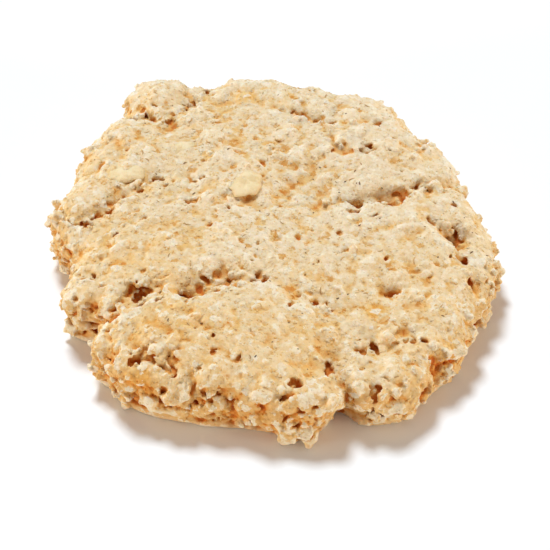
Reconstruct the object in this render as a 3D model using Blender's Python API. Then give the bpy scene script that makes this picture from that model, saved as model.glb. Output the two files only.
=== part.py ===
"""Oat biscuit: one round, hand-pressed, crumbly biscuit, lying on its flat baked underside.

Metres, +Z up. The origin is the middle of the underside, +X is the biscuit's right and -Y its front.
The body is a disc with a rounded shoulder, and its outline has the lobes and notches of dough that
was pressed flat by hand. Fissures, hollows, pits, lumps and crags are relief in that one body. The
rolled-oat flakes and the crumbs that stand out of it are fused to it, so the biscuit is one solid.

The shape is worked out in millimetres and becomes metres in the last step.
"""

import math
import random
from collections import namedtuple

import bmesh
import bpy
from mathutils import Matrix, Vector, noise
from mathutils.bvhtree import BVHTree

MM = 0.001

# The disc.
RADIUS = 33.0
THICKNESS = 10.3
SHOULDER = 4.2  # radius of the rounded edge between the top and the wall
FOOT = 1.3  # radius of the small rounded edge between the wall and the underside
UNDERCUT = 0.8  # how far the wall leans in on its way down
CROWN = 0.9  # how much higher the middle of the top is than its edge
THIN_SIDE = 318  # the bearing towards which the biscuit gets thinner
THINNING = 0.15  # the share of its thickness that is missing there
THIN_START = 5.0  # how far from the middle the thinning starts
THIN_RUN = 28.0  # over what distance it grows to its full share
BASE_SLICE = 0.25  # how much is sliced off the underside to leave it level
LEAST_HEIGHT = 0.05  # the lowest that relief may push the wall
PIECE_BASE = 0.15  # the lowest that a flake or a crumb may reach
TOP_CELLS = 130  # faces across the top, before decimation
WALL_ROWS = 20
BODY_TRIANGLES = 7600  # the body alone, before the standing pieces are fused to it
TRIANGLES = 11600
SHARP_ANGLE = 60  # in degrees; folds sharper than this keep a hard edge

# The outline: bearing and half width in degrees, 0 at +X and 90 at +Y, and reach in millimetres.
Lobe = namedtuple("Lobe", "bearing width reach")
LOBES = (
    Lobe(13, 9, -1.7),
    Lobe(37, 13, -2.1),
    Lobe(58, 9, 1.3),
    Lobe(94, 9, 1.5),
    Lobe(109, 4, 1.3),
    Lobe(120, 6, 1.0),
    Lobe(132, 9, 1.2),
    Lobe(163, 11, -2.5),
    Lobe(192, 10, -4.8),
    Lobe(216, 5.5, -4.0),
    Lobe(233, 13, 1.9),
    Lobe(250, 10, 0.6),
    Lobe(279, 7, 2.9),
    Lobe(289, 2.6, -2.4),
    Lobe(302, 10, 3.8),
    Lobe(321, 11, 3.1),
    Lobe(347, 11, 1.8),
)

# Masses of dough that stand up: centre, radius of influence and how far they rise.
Lump = namedtuple("Lump", "x y z radius rise")
LUMPS = (
    Lump(-11.8, -20.0, 10.0, 8.0, 0.8),  # the front slab, left of its middle
    Lump(2.2, -20.0, 10.5, 8.0, 0.8),  # the front slab, right of its middle
    Lump(-26.3, -16.5, 8.0, 4.5, 0.7),  # the left corner beside the notch
    Lump(-19.3, 13.0, 10.0, 6.0, 0.5),
    Lump(-3.3, 6.0, 11.0, 3.2, 0.7),
    Lump(22.2, 1.0, 10.5, 7.0, 0.7),
    Lump(24.2, -12.0, 10.0, 6.5, 0.8),
    Lump(13.2, 18.5, 10.5, 7.0, 0.6),
    Lump(15.7, -31.0, 4.0, 4.5, 0.9),  # the knob right of the front notch
    Lump(11.2, -33.0, 8.0, 2.8, 2.2),  # the lip over the notch
    Lump(-5.3, -8.0, 10.8, 3.5, 0.7),
)

# Hollows and pits: centre, radius of influence and depth.
Pit = namedtuple("Pit", "x y z radius depth")
PITS = (
    Pit(5.7, 6.5, 11.0, 6.0, 1.2),  # the shallow basin in the middle
    Pit(8.7, -15.5, 10.5, 4.0, 0.9),
    Pit(13.4, 3.7, 10.0, 1.3, 2.0),
    Pit(18.7, 4.8, 10.2, 2.2, 1.2),
    Pit(17.8, -14.2, 10.0, 1.3, 1.9),
    Pit(14.4, -24.1, 9.0, 1.5, 2.6),
    Pit(19.8, -21.6, 9.4, 1.4, 1.5),
    Pit(24.2, -25.0, 7.0, 1.7, 2.1),
    Pit(15.0, -29.9, 6.6, 1.5, 2.4),
    Pit(8.6, -26.3, 9.2, 2.3, 1.9),
    Pit(4.1, -30.0, 8.2, 1.5, 2.4),
    Pit(8.5, -31.2, 6.2, 1.4, 2.2),
    Pit(-18.1, -26.0, 7.8, 1.4, 2.2),
    Pit(-13.3, -27.5, 8.0, 1.7, 2.7),
    Pit(-9.6, -30.4, 6.8, 1.6, 2.6),
    Pit(-4.5, -30.6, 6.8, 1.3, 2.0),
    Pit(-24.9, -11.1, 9.4, 1.3, 1.5),
    Pit(-9.7, -14.0, 9.6, 2.0, 2.4),
    Pit(-5.2, -12.0, 10.0, 1.6, 2.5),
    Pit(-17.4, -14.6, 9.4, 1.7, 2.6),
    Pit(-11.2, 8.6, 10.8, 0.9, 1.2),
    Pit(-2.8, 3.2, 11.0, 1.6, 0.9),
    Pit(-19.6, 24.6, 9.6, 1.4, 1.7),
    Pit(-14.5, 20.4, 10.0, 1.3, 1.5),
    Pit(-11.5, 27.4, 9.8, 1.4, 1.6),
    Pit(27.5, -2.6, 9.8, 1.7, 1.9),
    Pit(29.8, -11.8, 8.8, 1.6, 1.6),
    Pit(5.8, 23.0, 10.2, 1.3, 1.2),
    Pit(11.3, -33.5, 1.8, 2.2, 1.6),  # the notch low in the front, under an overhanging lip
)

# Fissures in the top: the points that each passes through, its half width, and its depth at each point.
Fissure = namedtuple("Fissure", "points half_width depths")
FISSURES = (
    Fissure(  # between the front slab and the rest, from the notch at the left
        (
            (-26.8, -21),
            (-21.2, -18.8),
            (-17.6, -14.6),
            (-9.8, -14.6),
            (-4.8, -12),
            (0.7, -12.6),
            (9.6, -18.2),
            (14.2, -16.3),
        ),
        1.25,
        (1.6, 1.5, 1.4, 1.2, 1.2, 0.6, 0.8, 0.3),
    ),
    Fissure(  # in the right half
        ((8.6, 3.7), (13.4, 3.7), (18.3, 4.9), (26.7, 7.6), (34.2, 9)),
        1.1,
        (0.5, 1.6, 1.6, 1.5, 0.9),
    ),
    Fissure(  # in the left half
        ((-32.8, 1), (-26.0, 0.7), (-23.3, 1.5), (-19.5, 7.4), (-14.9, 8.4)),
        1.2,
        (0.5, 1.0, 1.1, 0.9, 0.6),
    ),
    Fissure(  # around the ball on the back left edge
        ((-23.3, 24.5), (-19.6, 24.8), (-14.9, 21.9), (-11.5, 26.5), (-8.3, 33)),
        1.1,
        (0.4, 0.8, 0.6, 0.5, 0.3),
    ),
    Fissure(((2.2, 24), (9.4, 21.4), (11.6, 14.3), (15.8, 15.0)), 0.9, (0.5, 1.2, 0.9, 1.1)),
    Fissure(((23.2, 0.5), (27.5, -2.6), (29.6, -11.6)), 1.0, (0.6, 1.6, 1.0)),
    Fissure(((-29.3, -15), (-21.2, -18.8), (-22.3, -26.5)), 0.9, (0.4, 1.2, 1.4)),
    Fissure(((-18.1, -26), (-13.3, -27.5), (-9.6, -30.6)), 0.9, (1.0, 1.2, 1.0)),
)

# Crags: the size of a clump, its height on the top's smooth middle, and its height at the edge and wall.
Crag = namedtuple("Crag", "size middle_height edge_height offset")
CRAGS = (
    Crag(6.2, 0.32, 0.75, Vector((3.1, 7.7, 1.9))),
    Crag(3.3, 0.24, 0.55, Vector((11.3, 2.9, 6.1))),
)
SWELL_SIZE = 13.0
SWELL_HEIGHT = 0.45
WARP = 0.35  # how far clumps are bent out of round, in clump sizes
CREVICE = 0.55  # the width of the slope from a clump's crown to its crevice, in clump sizes
WOBBLE_SIZE = 3.1  # fissures and pits waver by up to WOBBLE_HEIGHT over this distance
WOBBLE_HEIGHT = 0.9
EDGE_START = 0.62  # the share of the radius where crags begin to get higher
EDGE_RUN = 0.3
SHEER_WALL = 1.1  # height over which relief fades out towards the underside

# Rolled-oat flakes and crumbs that stand out of the surface.
FLAKE_LENGTH = 5.2
FLAKE_WIDTH = 4.0
FLAKE_THICKNESS = 1.2
CRUMB_SIZE = 2.5
BALL_CENTRE = Vector((-16.2, 28.2, 6.5))  # a ball of dough, pressed onto the back left edge
BALL_RADII = Vector((5.7, 6.0, 4.9))
SEED = 20
RANDOM_FLAKES = 30
RANDOM_CRUMBS = 46
TOP_SHARE = 0.62  # the share of these that lies on the top, and not on the wall
SPACING = 4.2  # least distance between two of these
FLAKE_SINK = 0.1  # how deep a flake's middle is sunk
CRUMB_SINK = 0.3
FLAKE_TILT = 16  # the greatest tilt in degrees of a piece laid at random
CRUMB_TILT = 20

# Pieces at known places on the top (x, y), each with its turn and its tilt in degrees.
TOP_FLAKES = (
    (-20.0, 10.0, 10, -14),  # the broad flake in the left half
    (-2.8, 6.2, 0, -8),  # the smooth flake in the middle
    (-7.8, 17.5, 60, 10),
    (-12.3, 15.0, 20, 6),
    (15.2, -8.0, 15, 10),
    (-20.8, -5.5, 75, 12),
)
# Pieces at known places on the wall: bearing in degrees, height, turn and tilt in degrees.
WALL_FLAKES = (
    (242, 2.6, 15, 35),  # the pale flakes low on the front left
    (249, 1.9, -20, 50),
    (287, 6.4, 0, 20),  # the long flake over the front notch
    (311, 4.2, 70, 40),
    (262, 4.4, 10, 25),
    (226, 4.0, 80, 15),
)
WALL_CRUMBS = (
    (274, 3.8, 1.25),  # the knobs at the foot of the front: bearing, height, size against CRUMB_SIZE
    (275, 1.4, 1.05),
    (280, 1.2, 0.75),
    (278, 3.4, 0.8),
    (272, 4.9, 0.9),
    (353, 7.4, 0.85),
    (360, 6.6, 0.9),
)


def smoothstep(value):
    """0 below 0, 1 above 1, and a smooth rise between."""
    t = min(1.0, max(0.0, value))
    return t * t * (3 - 2 * t)


def outline_radius(bearing):
    """How far the outline is from the middle at this bearing, in radians."""
    radius = RADIUS
    for lobe in LOBES:
        away = (math.degrees(bearing) - lobe.bearing + 180) % 360 - 180
        radius += lobe.reach * math.exp(-((away / lobe.width) ** 2))
    return radius


def section_point(travel, radius):
    """The half section's point as (distance out, height), after this travel from the top's middle."""
    flat = radius - SHOULDER
    arc = SHOULDER * math.pi / 2
    wall = THICKNESS - SHOULDER - FOOT
    if travel < flat:
        return travel, THICKNESS
    if travel < flat + arc:
        turn = (travel - flat) / SHOULDER
        return flat + SHOULDER * math.sin(turn), THICKNESS - SHOULDER * (1 - math.cos(turn))
    down = travel - flat - arc
    if down < wall:
        return radius - UNDERCUT * down / wall, THICKNESS - SHOULDER - down
    turn = min(math.pi / 2, (down - wall) / FOOT)
    return radius - UNDERCUT - FOOT * (1 - math.cos(turn)), FOOT * (1 - math.sin(turn))


def round_disc(u, v):
    """A point of the square -1 to 1 as (share of the radius, bearing), spread evenly over the disc."""
    if u == 0 and v == 0:
        return 0.0, 0.0
    if abs(u) >= abs(v):
        share, bearing = u, math.pi / 4 * v / u
    else:
        share, bearing = v, math.pi / 2 - math.pi / 4 * u / v
    if share < 0:
        bearing += math.pi
    return abs(share), bearing


def disc_body():
    """The plain disc: a round grid for its top, rows pulled down for its wall, and a flat underside."""
    bm = bmesh.new()
    bmesh.ops.create_grid(bm, x_segments=TOP_CELLS, y_segments=TOP_CELLS, size=1.0)
    on_top = SHOULDER * math.pi / 4  # the part of the shoulder that the top grid covers
    to_foot = SHOULDER * math.pi / 4 + (THICKNESS - SHOULDER - FOOT) + FOOT * math.pi / 2
    bearings = {}
    for vert in bm.verts:
        share, bearing = round_disc(vert.co.x, vert.co.y)
        radius = outline_radius(bearing)
        out, height = section_point(share * (radius - SHOULDER + on_top), radius)
        vert.co = (out * math.cos(bearing), out * math.sin(bearing), height)
        bearings[vert] = bearing
    rim = [edge for edge in bm.edges if edge.is_boundary]
    for row in range(1, WALL_ROWS + 1):
        above = {vert.co.copy().freeze(): bearings[vert] for edge in rim for vert in edge.verts}
        pulled = bmesh.ops.extrude_edge_only(bm, edges=rim)["geom"]
        rim = [item for item in pulled if isinstance(item, bmesh.types.BMEdge) and item.is_boundary]
        for vert in {vert for edge in rim for vert in edge.verts}:
            bearing = above[vert.co.copy().freeze()]
            bearings[vert] = bearing
            radius = outline_radius(bearing)
            travel = radius - SHOULDER + on_top + to_foot * row / WALL_ROWS
            out, height = section_point(travel, radius)
            vert.co = (out * math.cos(bearing), out * math.sin(bearing), height)
    bmesh.ops.holes_fill(bm, edges=rim)
    bmesh.ops.recalc_face_normals(bm, faces=bm.faces)
    return bm


def fissure_depth(fissure, x, y):
    """How deep this fissure is at a place of the top: deepest on its line, and gone a few widths off."""
    deepest = 0.0
    ends = zip(fissure.points, fissure.points[1:], fissure.depths, fissure.depths[1:])
    for (ax, ay), (bx, by), depth_a, depth_b in ends:
        run_x, run_y = bx - ax, by - ay
        share = ((x - ax) * run_x + (y - ay) * run_y) / (run_x**2 + run_y**2)
        share = min(1.0, max(0.0, share))
        away = math.hypot(x - ax - share * run_x, y - ay - share * run_y) / fissure.half_width
        depth = depth_a + share * (depth_b - depth_a)
        deepest = max(deepest, depth * math.exp(-(away**2)))
    return deepest


def clump_height(point, size, offset):
    """1 on the crown of a rounded clump of about this size, falling to 0 in the crevice round it."""
    place = point / size + offset
    place += WARP * noise.noise_vector(place * 1.7)
    nearest, second = noise.voronoi(place)[0][:2]
    slope = min(1.0, (second - nearest) / CREVICE)
    return 1 - (1 - slope) ** 2


def relief(point):
    """How far the plain disc's surface moves out along its normal at this point."""
    wobble = WOBBLE_HEIGHT * noise.noise_vector(point / WOBBLE_SIZE)
    x, y = point.x + wobble.x, point.y + wobble.y
    moved = SWELL_HEIGHT * noise.noise(point / SWELL_SIZE)
    moved += CROWN * (1 - (math.hypot(point.x, point.y) / RADIUS) ** 2) * smoothstep(point.z / THICKNESS)
    for lump in LUMPS:
        away = (point - Vector((lump.x, lump.y, lump.z))).length / lump.radius
        moved += lump.rise * math.exp(-(away**2))
    for pit in PITS:
        away = (Vector((x, y, point.z)) - Vector((pit.x, pit.y, pit.z))).length / pit.radius
        moved -= pit.depth * math.exp(-(away**2))
    moved -= max(fissure_depth(fissure, x, y) for fissure in FISSURES)
    edge = smoothstep((math.hypot(point.x, point.y) / RADIUS - EDGE_START) / EDGE_RUN)
    for crag in CRAGS:
        height = crag.middle_height + edge * (crag.edge_height - crag.middle_height)
        moved += height * (clump_height(point, crag.size, crag.offset) - 0.6)
    return moved * smoothstep(point.z / SHEER_WALL)


def outward(point):
    """The direction that the plain disc's skin faces at a point of its top, shoulder or wall."""
    bearing = math.atan2(point.y, point.x)
    past = math.hypot(point.x, point.y) - (outline_radius(bearing) - SHOULDER)
    above = point.z - (THICKNESS - SHOULDER)
    if past <= 0:
        return Vector((0, 0, 1))
    if above <= 0:
        return Vector((math.cos(bearing), math.sin(bearing), 0))
    return Vector((past * math.cos(bearing), past * math.sin(bearing), above)).normalized()


def crag_over(bm):
    """Moves every vertex above the underside outwards by the relief."""
    towards = Vector((math.cos(math.radians(THIN_SIDE)), math.sin(math.radians(THIN_SIDE)), 0))
    for vert in bm.verts:
        if vert.co.z > 1e-4:
            thinning = THINNING * smoothstep((vert.co.dot(towards) - THIN_START) / THIN_RUN)
            vert.co += outward(vert.co) * relief(vert.co)
            vert.co.z = max(LEAST_HEIGHT, vert.co.z * (1 - thinning))


def surface_frame(tree, place, towards):
    """The point and the normal where a ray from a place meets the body, or None."""
    hit, normal, _, _ = tree.ray_cast(place, towards)
    return None if hit is None else (hit, normal)


def on_top(tree, x, y):
    return surface_frame(tree, Vector((x, y, 4 * THICKNESS)), Vector((0, 0, -1)))


def on_wall(tree, bearing, height):
    out = Vector((math.cos(math.radians(bearing)), math.sin(math.radians(bearing)), 0))
    return surface_frame(tree, out * 2 * RADIUS + Vector((0, 0, height)), -out)


def laid_on(frame, turn, tilt, sink):
    """The matrix that lays a piece's flat side on the surface, turned, tilted and sunk by these amounts."""
    point, normal = frame
    facing = normal.to_track_quat("Z", "Y").to_matrix().to_4x4()
    turned = Matrix.Rotation(math.radians(turn), 4, "Z") @ Matrix.Rotation(math.radians(tilt), 4, "X")
    return Matrix.Translation(point - normal * sink) @ facing @ turned


def add_piece(collection, name, detail, place, shape):
    """A closed lump made from an icosphere, whose points the shape function moves before it is placed."""
    bm = bmesh.new()
    bmesh.ops.create_icosphere(bm, subdivisions=detail, radius=0.5)
    for vert in bm.verts:
        vert.co = place @ shape(vert.co)
        vert.co.z = max(PIECE_BASE, vert.co.z)
    bm.normal_update()
    mesh = bpy.data.meshes.new(name)
    bm.to_mesh(mesh)
    bm.free()
    collection.objects.link(bpy.data.objects.new(name, mesh))


def flake_shape(rng):
    """A rolled-oat flake: a thin oval with an uneven edge, bent a little along its length."""
    scale = rng.uniform(0.75, 1.1)
    bend = rng.uniform(-0.10, 0.16)
    shift = Vector((rng.uniform(0, 50), rng.uniform(0, 50), 0))

    def shape(co):
        ragged = 1 + 0.22 * noise.noise(co * 3 + shift)
        x = co.x * FLAKE_LENGTH * scale * ragged
        y = co.y * FLAKE_WIDTH * scale * ragged
        return Vector((x, y, co.z * FLAKE_THICKNESS - bend * x * x))

    return shape


def crumb_shape(rng, size):
    """A crumb of dough: a lump pulled out of round."""
    shift = Vector((rng.uniform(0, 50), rng.uniform(0, 50), rng.uniform(0, 50)))
    stretch = Vector((rng.uniform(0.8, 1.25), rng.uniform(0.8, 1.1), rng.uniform(0.65, 0.9)))

    def shape(co):
        ragged = 1 + 0.45 * noise.noise(co * 2.6 + shift)
        return co * stretch * (CRUMB_SIZE * size * ragged)

    return shape


def ball_shape(co):
    """The ball of dough: an ellipsoid with an uneven surface."""
    ragged = 2 + 0.3 * noise.noise(co * 4) + 0.12 * noise.noise(co * 9)
    return Vector((co.x * BALL_RADII.x, co.y * BALL_RADII.y, co.z * BALL_RADII.z)) * ragged


def scatter_frames(tree, rng, count, taken):
    """Surface points spread evenly over the top and wall by a seeded draw, clear of the places taken."""
    frames = []
    while len(frames) < count:
        if rng.random() < TOP_SHARE:
            share, bearing = math.sqrt(rng.random()) * 0.93, rng.uniform(0, 2 * math.pi)
            out = share * outline_radius(bearing)
            frame = on_top(tree, out * math.cos(bearing), out * math.sin(bearing))
        else:
            frame = on_wall(tree, rng.uniform(0, 360), rng.uniform(1.8, THICKNESS - 2.0))
        if frame and all((frame[0] - other).length > SPACING for other in taken):
            taken.append(frame[0])
            frames.append(frame)
    return frames


def add_standing_pieces(bm, collection):
    """The flakes and crumbs that stand out of the body, each half sunk in it."""
    tree = BVHTree.FromBMesh(bm)
    rng = random.Random(SEED)
    taken = []
    flakes = []
    for x, y, turn, tilt in TOP_FLAKES:
        flakes.append((on_top(tree, x, y), turn, tilt))
    for bearing, height, turn, tilt in WALL_FLAKES:
        flakes.append((on_wall(tree, bearing, height), turn, tilt))
    taken.extend(frame[0] for frame, _, _ in flakes)
    crumbs = [(on_wall(tree, bearing, height), size) for bearing, height, size in WALL_CRUMBS]
    taken.extend(frame[0] for frame, _ in crumbs)
    for frame in scatter_frames(tree, rng, RANDOM_FLAKES, taken):
        flakes.append((frame, rng.uniform(0, 360), rng.uniform(-FLAKE_TILT, FLAKE_TILT)))
    for frame in scatter_frames(tree, rng, RANDOM_CRUMBS, taken):
        crumbs.append((frame, rng.uniform(0.65, 1.15)))
    add_piece(collection, "ball", 4, Matrix.Translation(BALL_CENTRE), ball_shape)
    for number, (frame, turn, tilt) in enumerate(flakes):
        place = laid_on(frame, turn, tilt, FLAKE_SINK)
        add_piece(collection, f"flake_{number}", 2, place, flake_shape(rng))
    for number, (frame, size) in enumerate(crumbs):
        turn, tilt = rng.uniform(0, 360), rng.uniform(-CRUMB_TILT, CRUMB_TILT)
        place = laid_on(frame, turn, tilt, CRUMB_SINK)
        add_piece(collection, f"crumb_{number}", 2, place, crumb_shape(rng, size))


def fuse(body, collection):
    """Joins the collection's pieces to the body by one Boolean union, and removes them."""
    union = body.modifiers.new("fuse", "BOOLEAN")
    union.operation = "UNION"
    union.operand_type = "COLLECTION"
    union.collection = collection
    union.solver = "MANIFOLD"
    graph = bpy.context.evaluated_depsgraph_get()
    fused = bpy.data.meshes.new_from_object(body.evaluated_get(graph))
    body.modifiers.clear()
    body.data = fused
    for piece in list(collection.objects):
        bpy.data.objects.remove(piece)
    bpy.data.collections.remove(collection)


def keep_outer_skin(mesh):
    """Keeps the largest connected skin, which drops loose scraps and fills hollows that fusing sealed."""
    bm = bmesh.new()
    bm.from_mesh(mesh)
    seen = set()
    skins = []
    for start in bm.verts:
        if start in seen:
            continue
        skin, front = {start}, [start]
        while front:
            for edge in front.pop().link_edges:
                for vert in edge.verts:
                    if vert not in skin:
                        skin.add(vert)
                        front.append(vert)
        seen |= skin
        skins.append(skin)
    largest = max(skins, key=len)
    bmesh.ops.delete(bm, geom=[vert for vert in bm.verts if vert not in largest], context="VERTS")
    bm.to_mesh(mesh)
    bm.free()


def thin_out(body, triangles):
    """Decimates the fine mesh, so that its triangles go where the relief is."""
    mesh = body.data
    mesh.calc_loop_triangles()
    decimate = body.modifiers.new("thin_out", "DECIMATE")
    decimate.ratio = triangles / len(mesh.loop_triangles)
    decimate.use_collapse_triangulate = True
    graph = bpy.context.evaluated_depsgraph_get()
    thin = bpy.data.meshes.new_from_object(body.evaluated_get(graph))
    body.modifiers.clear()
    body.data = thin


def level_underside(mesh):
    """Slices the lowest skin off and closes the cut, so that the underside is one level face."""
    bm = bmesh.new()
    bm.from_mesh(mesh)
    everything = bm.verts[:] + bm.edges[:] + bm.faces[:]
    bmesh.ops.bisect_plane(
        bm,
        geom=everything,
        dist=1e-4,
        plane_co=(0, 0, BASE_SLICE),
        plane_no=(0, 0, 1),
        clear_inner=True,
    )
    bmesh.ops.holes_fill(bm, edges=[edge for edge in bm.edges if edge.is_boundary])
    bmesh.ops.recalc_face_normals(bm, faces=bm.faces)
    bm.to_mesh(mesh)
    bm.free()


def settle(mesh):
    """Turns millimetres into metres, and puts the middle of the underside at the origin."""
    low = Vector([min(vert.co[axis] for vert in mesh.vertices) for axis in range(3)])
    high = Vector([max(vert.co[axis] for vert in mesh.vertices) for axis in range(3)])
    middle = Vector(((low.x + high.x) / 2, (low.y + high.y) / 2, low.z))
    mesh.transform(Matrix.Scale(MM, 4) @ Matrix.Translation(-middle))


def crumb_material():
    material = bpy.data.materials.new("pale_oat_crumb")
    material.use_nodes = True
    shader = material.node_tree.nodes["Principled BSDF"]
    shader.inputs["Base Color"].default_value = (0.78, 0.58, 0.33, 1)
    shader.inputs["Roughness"].default_value = 0.85
    shader.inputs["Metallic"].default_value = 0.0
    return material


def build_biscuit():
    for old in list(bpy.data.objects):
        bpy.data.objects.remove(old)
    noise.seed_set(SEED)
    scene = bpy.context.scene
    oat_biscuit = bpy.data.collections.new("oat_biscuit")
    standing = bpy.data.collections.new("standing_pieces")
    scene.collection.children.link(oat_biscuit)
    scene.collection.children.link(standing)

    bm = disc_body()
    crag_over(bm)
    add_standing_pieces(bm, standing)
    mesh = bpy.data.meshes.new("biscuit")
    bm.to_mesh(mesh)
    bm.free()
    biscuit = bpy.data.objects.new("biscuit", mesh)
    oat_biscuit.objects.link(biscuit)
    thin_out(biscuit, BODY_TRIANGLES)
    fuse(biscuit, standing)
    keep_outer_skin(biscuit.data)
    thin_out(biscuit, TRIANGLES)
    level_underside(biscuit.data)
    settle(biscuit.data)
    biscuit.data.materials.clear()
    biscuit.data.materials.append(crumb_material())
    biscuit.data.shade_smooth()
    biscuit.data.set_sharp_from_angle(angle=math.radians(SHARP_ANGLE))


build_biscuit()
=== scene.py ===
import math

import bmesh
import bpy
import numpy as np
import openvdb
from mathutils import Matrix, Vector
from mathutils.bvhtree import BVHTree


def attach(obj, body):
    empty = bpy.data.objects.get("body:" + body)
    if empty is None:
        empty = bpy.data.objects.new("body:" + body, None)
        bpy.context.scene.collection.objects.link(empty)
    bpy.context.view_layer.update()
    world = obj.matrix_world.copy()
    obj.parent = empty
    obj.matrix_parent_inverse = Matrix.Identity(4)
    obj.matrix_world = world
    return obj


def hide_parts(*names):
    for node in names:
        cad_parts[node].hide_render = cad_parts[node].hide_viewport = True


# The looks of an oat biscuit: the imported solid's form, broken up into crumb, with its oat flakes and bran.
# Lengths are in millimetres. MM turns them into metres where a piece is finished and in its materials.

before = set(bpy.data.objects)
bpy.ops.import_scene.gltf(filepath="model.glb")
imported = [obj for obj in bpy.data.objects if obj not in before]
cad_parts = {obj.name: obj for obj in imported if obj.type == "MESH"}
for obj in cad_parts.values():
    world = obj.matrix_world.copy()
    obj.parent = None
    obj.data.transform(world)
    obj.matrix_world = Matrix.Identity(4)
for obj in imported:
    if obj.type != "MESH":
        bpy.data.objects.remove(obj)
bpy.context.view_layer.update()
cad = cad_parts["biscuit"]

MM_PER_METRE = 1000
MM = 1 / MM_PER_METRE

SEED = 7
rng = np.random.default_rng(SEED)

# The crumb is worked out as signed distances on a box of samples, and then made a mesh.
SPACING = 0.25
MARGIN = 1.25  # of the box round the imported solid
REACH = 3.5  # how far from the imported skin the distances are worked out
FACET_BLUR = 8  # rounds of blurring, which take the solid's facets out of the distances
PROUD = 0.25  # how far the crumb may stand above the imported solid's highest point
CLUMP_SIZE = 2.7  # the larger plates that the skin is broken into
GRAIN_SIZE = 1.15  # the smaller ones

# How much there is of each piece.
CRUMB_TRIANGLES = 192000
PALE_GRAINS = 9800
GOLDEN_GRAINS = 7000
BRAN_SPECKS = 80
HULL_SLIVERS = 130

# Pits that show dark. Each kind has a half length, half width and depth, and places with a turn in degrees.
PITS = (
    (
        (1.8, 0.7, 2.0),
        (
            (-14.5, -28.5, 9, 50),
            (-11, -30.5, 7.5, -85),
            (7.5, -27, 8, 5),
            (7.5, -28, 2, 75),
            (-6, -13, 11, -40),
            (-11, -14.5, 10, -10),
            (-27, 0, 10.5, -5),
            (18, 5.5, 10.5, 30),
        ),
    ),
    (
        (1.2, 0.6, 2.2),
        (
            (-19, -26.5, 9, -50),
            (3, -30.5, 9, -50),
            (1.5, -32.5, 8, 60),
            (13.5, -30.5, 7, 90),
            (13.5, -23.5, 8.5, -25),
            (-18.5, -16.5, 11, 25),
            (16.5, -13.5, 9, -20),
            (12, 3, 10.5, -10),
        ),
    ),
    (
        (1.3, 0.35, 1.3),
        (
            (2.5, -34.5, 5.5, 10),
            (-6.5, -31, 7, -85),
            (-22.5, -28, 6.5, -80),
            (-12.5, -25.5, 11, 25),
            (-25, -16.5, 8.5, -85),
            (-16, -12, 10.5, 65),
            (21, 8, 9, 15),
            (14, 15, 11, -15),
            (-12.5, 27, 10.5, 65),
            (-11.5, 4, 11, -45),
        ),
    ),
    (
        (0.8, 0.45, 1.8),
        (
            (22, -23.5, 5, -45),
            (18.5, -22.5, 8.5, 20),
            (-22.5, -20, 10.5, 60),
            (-26, -11, 10, 20),
            (26, -1, 8.5, -40),
            (-20.5, 25.5, 9.5, 55),
            (-28.5, -15, 6, 85),
        ),
    ),
    (
        (0.7, 0.4, 0.9),
        (
            (-3.5, 4.5, 11.5, 0),
            (-16.5, -30, 5, 0),
            (24, -22.5, 2, 0),
            (7.5, -16, 9, -30),
            (30, -9.5, 6.5, -40),
            (-29, -0.5, 10.5, 65),
            (-20.5, -1, 11, -25),
            (-15.5, 8, 10.5, -50),
            (-12.5, 9, 10.5, 0),
            (-16, 22.5, 10, -30),
            (3, 25, 9, -55),
            (2.5, -4.5, 11, 40),
            (-2.5, -7.5, 11, -25),
            (5.5, -2.5, 10.5, 30),
            (-4, -5, 11, -35),
            (4, -12, 10, -55),
        ),
    ),
)

PIT_DEPTH_SHARE = 0.85  # how much of its kind's depth a pit gets
HOLLOWS_IN_A_PIT = 5
SMALL_PIT = 0.85  # pits up to this half length have their hollows further apart

# Cracks that the pits lie along: points of the top, half width and depth.
CRACKS = (
    (
        ((-27, -20), (-22.4, -18.3), (-18.8, -14.1), (-11, -14.1), (-6, -11.5), (-0.5, -12.1), (8.4, -17.7)),
        0.40,
        1.3,
    ),
    (((7.4, 4.2), (12.2, 4.2), (17.1, 5.4), (25.5, 8.1), (30, 9)), 0.35, 1.1),
    (((-31, 1.2), (-27.2, 1.2), (-24.5, 2.0), (-20.7, 7.9), (-16.1, 8.9)), 0.32, 1.0),
    (((-24.5, 25), (-20.8, 25.3), (-16.1, 22.4), (-12.7, 27), (-10.5, 31)), 0.55, 1.4),
    (((1.0, 24.5), (8.2, 21.9), (10.4, 14.8), (14.6, 15.5)), 0.28, 0.8),
    (((22.0, 1.0), (26.3, -2.1), (28.4, -11.1)), 0.35, 1.1),
    (((-19.3, -25.5), (-14.5, -27.0), (-10.8, -30.1)), 0.5, 1.4),
    (((12.0, -24.5), (18.0, -21.5), (24.0, -23.5)), 0.4, 1.2),
)

# Rolled-oat flakes that show on the top: place, length, thickness, and turn and tilt in degrees.
FLAKES = (
    (-21.5, 10.0, 11.0, 5.6, 0.50, 8, -6),
    (-3.8, 6.7, 12.0, 6.0, 0.50, 5, -2),
    (-13.6, 15.7, 11.5, 4.0, 0.45, 15, 2),
)

# Pale bits of oat that stand out of the wall: place, half length, half width and half thickness.
BITS = (
    (-13, -30.5, 6.5, 1.7, 1.1, 0.8),
    (-17, -30, 4.5, 1.4, 0.8, 0.6),
    (-15.5, -30.5, 3, 1.6, 0.8, 0.6),
    (-2, -32, 7.5, 1.4, 0.9, 0.6),
    (2, -34, 2, 1.3, 1.0, 0.9),
    (5.5, -34.5, 1, 1.3, 0.9, 0.8),
    (8, -30, 6, 1.8, 1.1, 0.8),
    (10, -32.5, 7, 1.9, 1.2, 0.8),
    (16.5, -30.5, 4.5, 1.4, 0.9, 0.7),
    (-29, -14, 2.5, 1.4, 1.0, 0.7),
)
BIT_TONE = -2.0  # paler than any chip, whose tones go from -1 to 1

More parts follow.
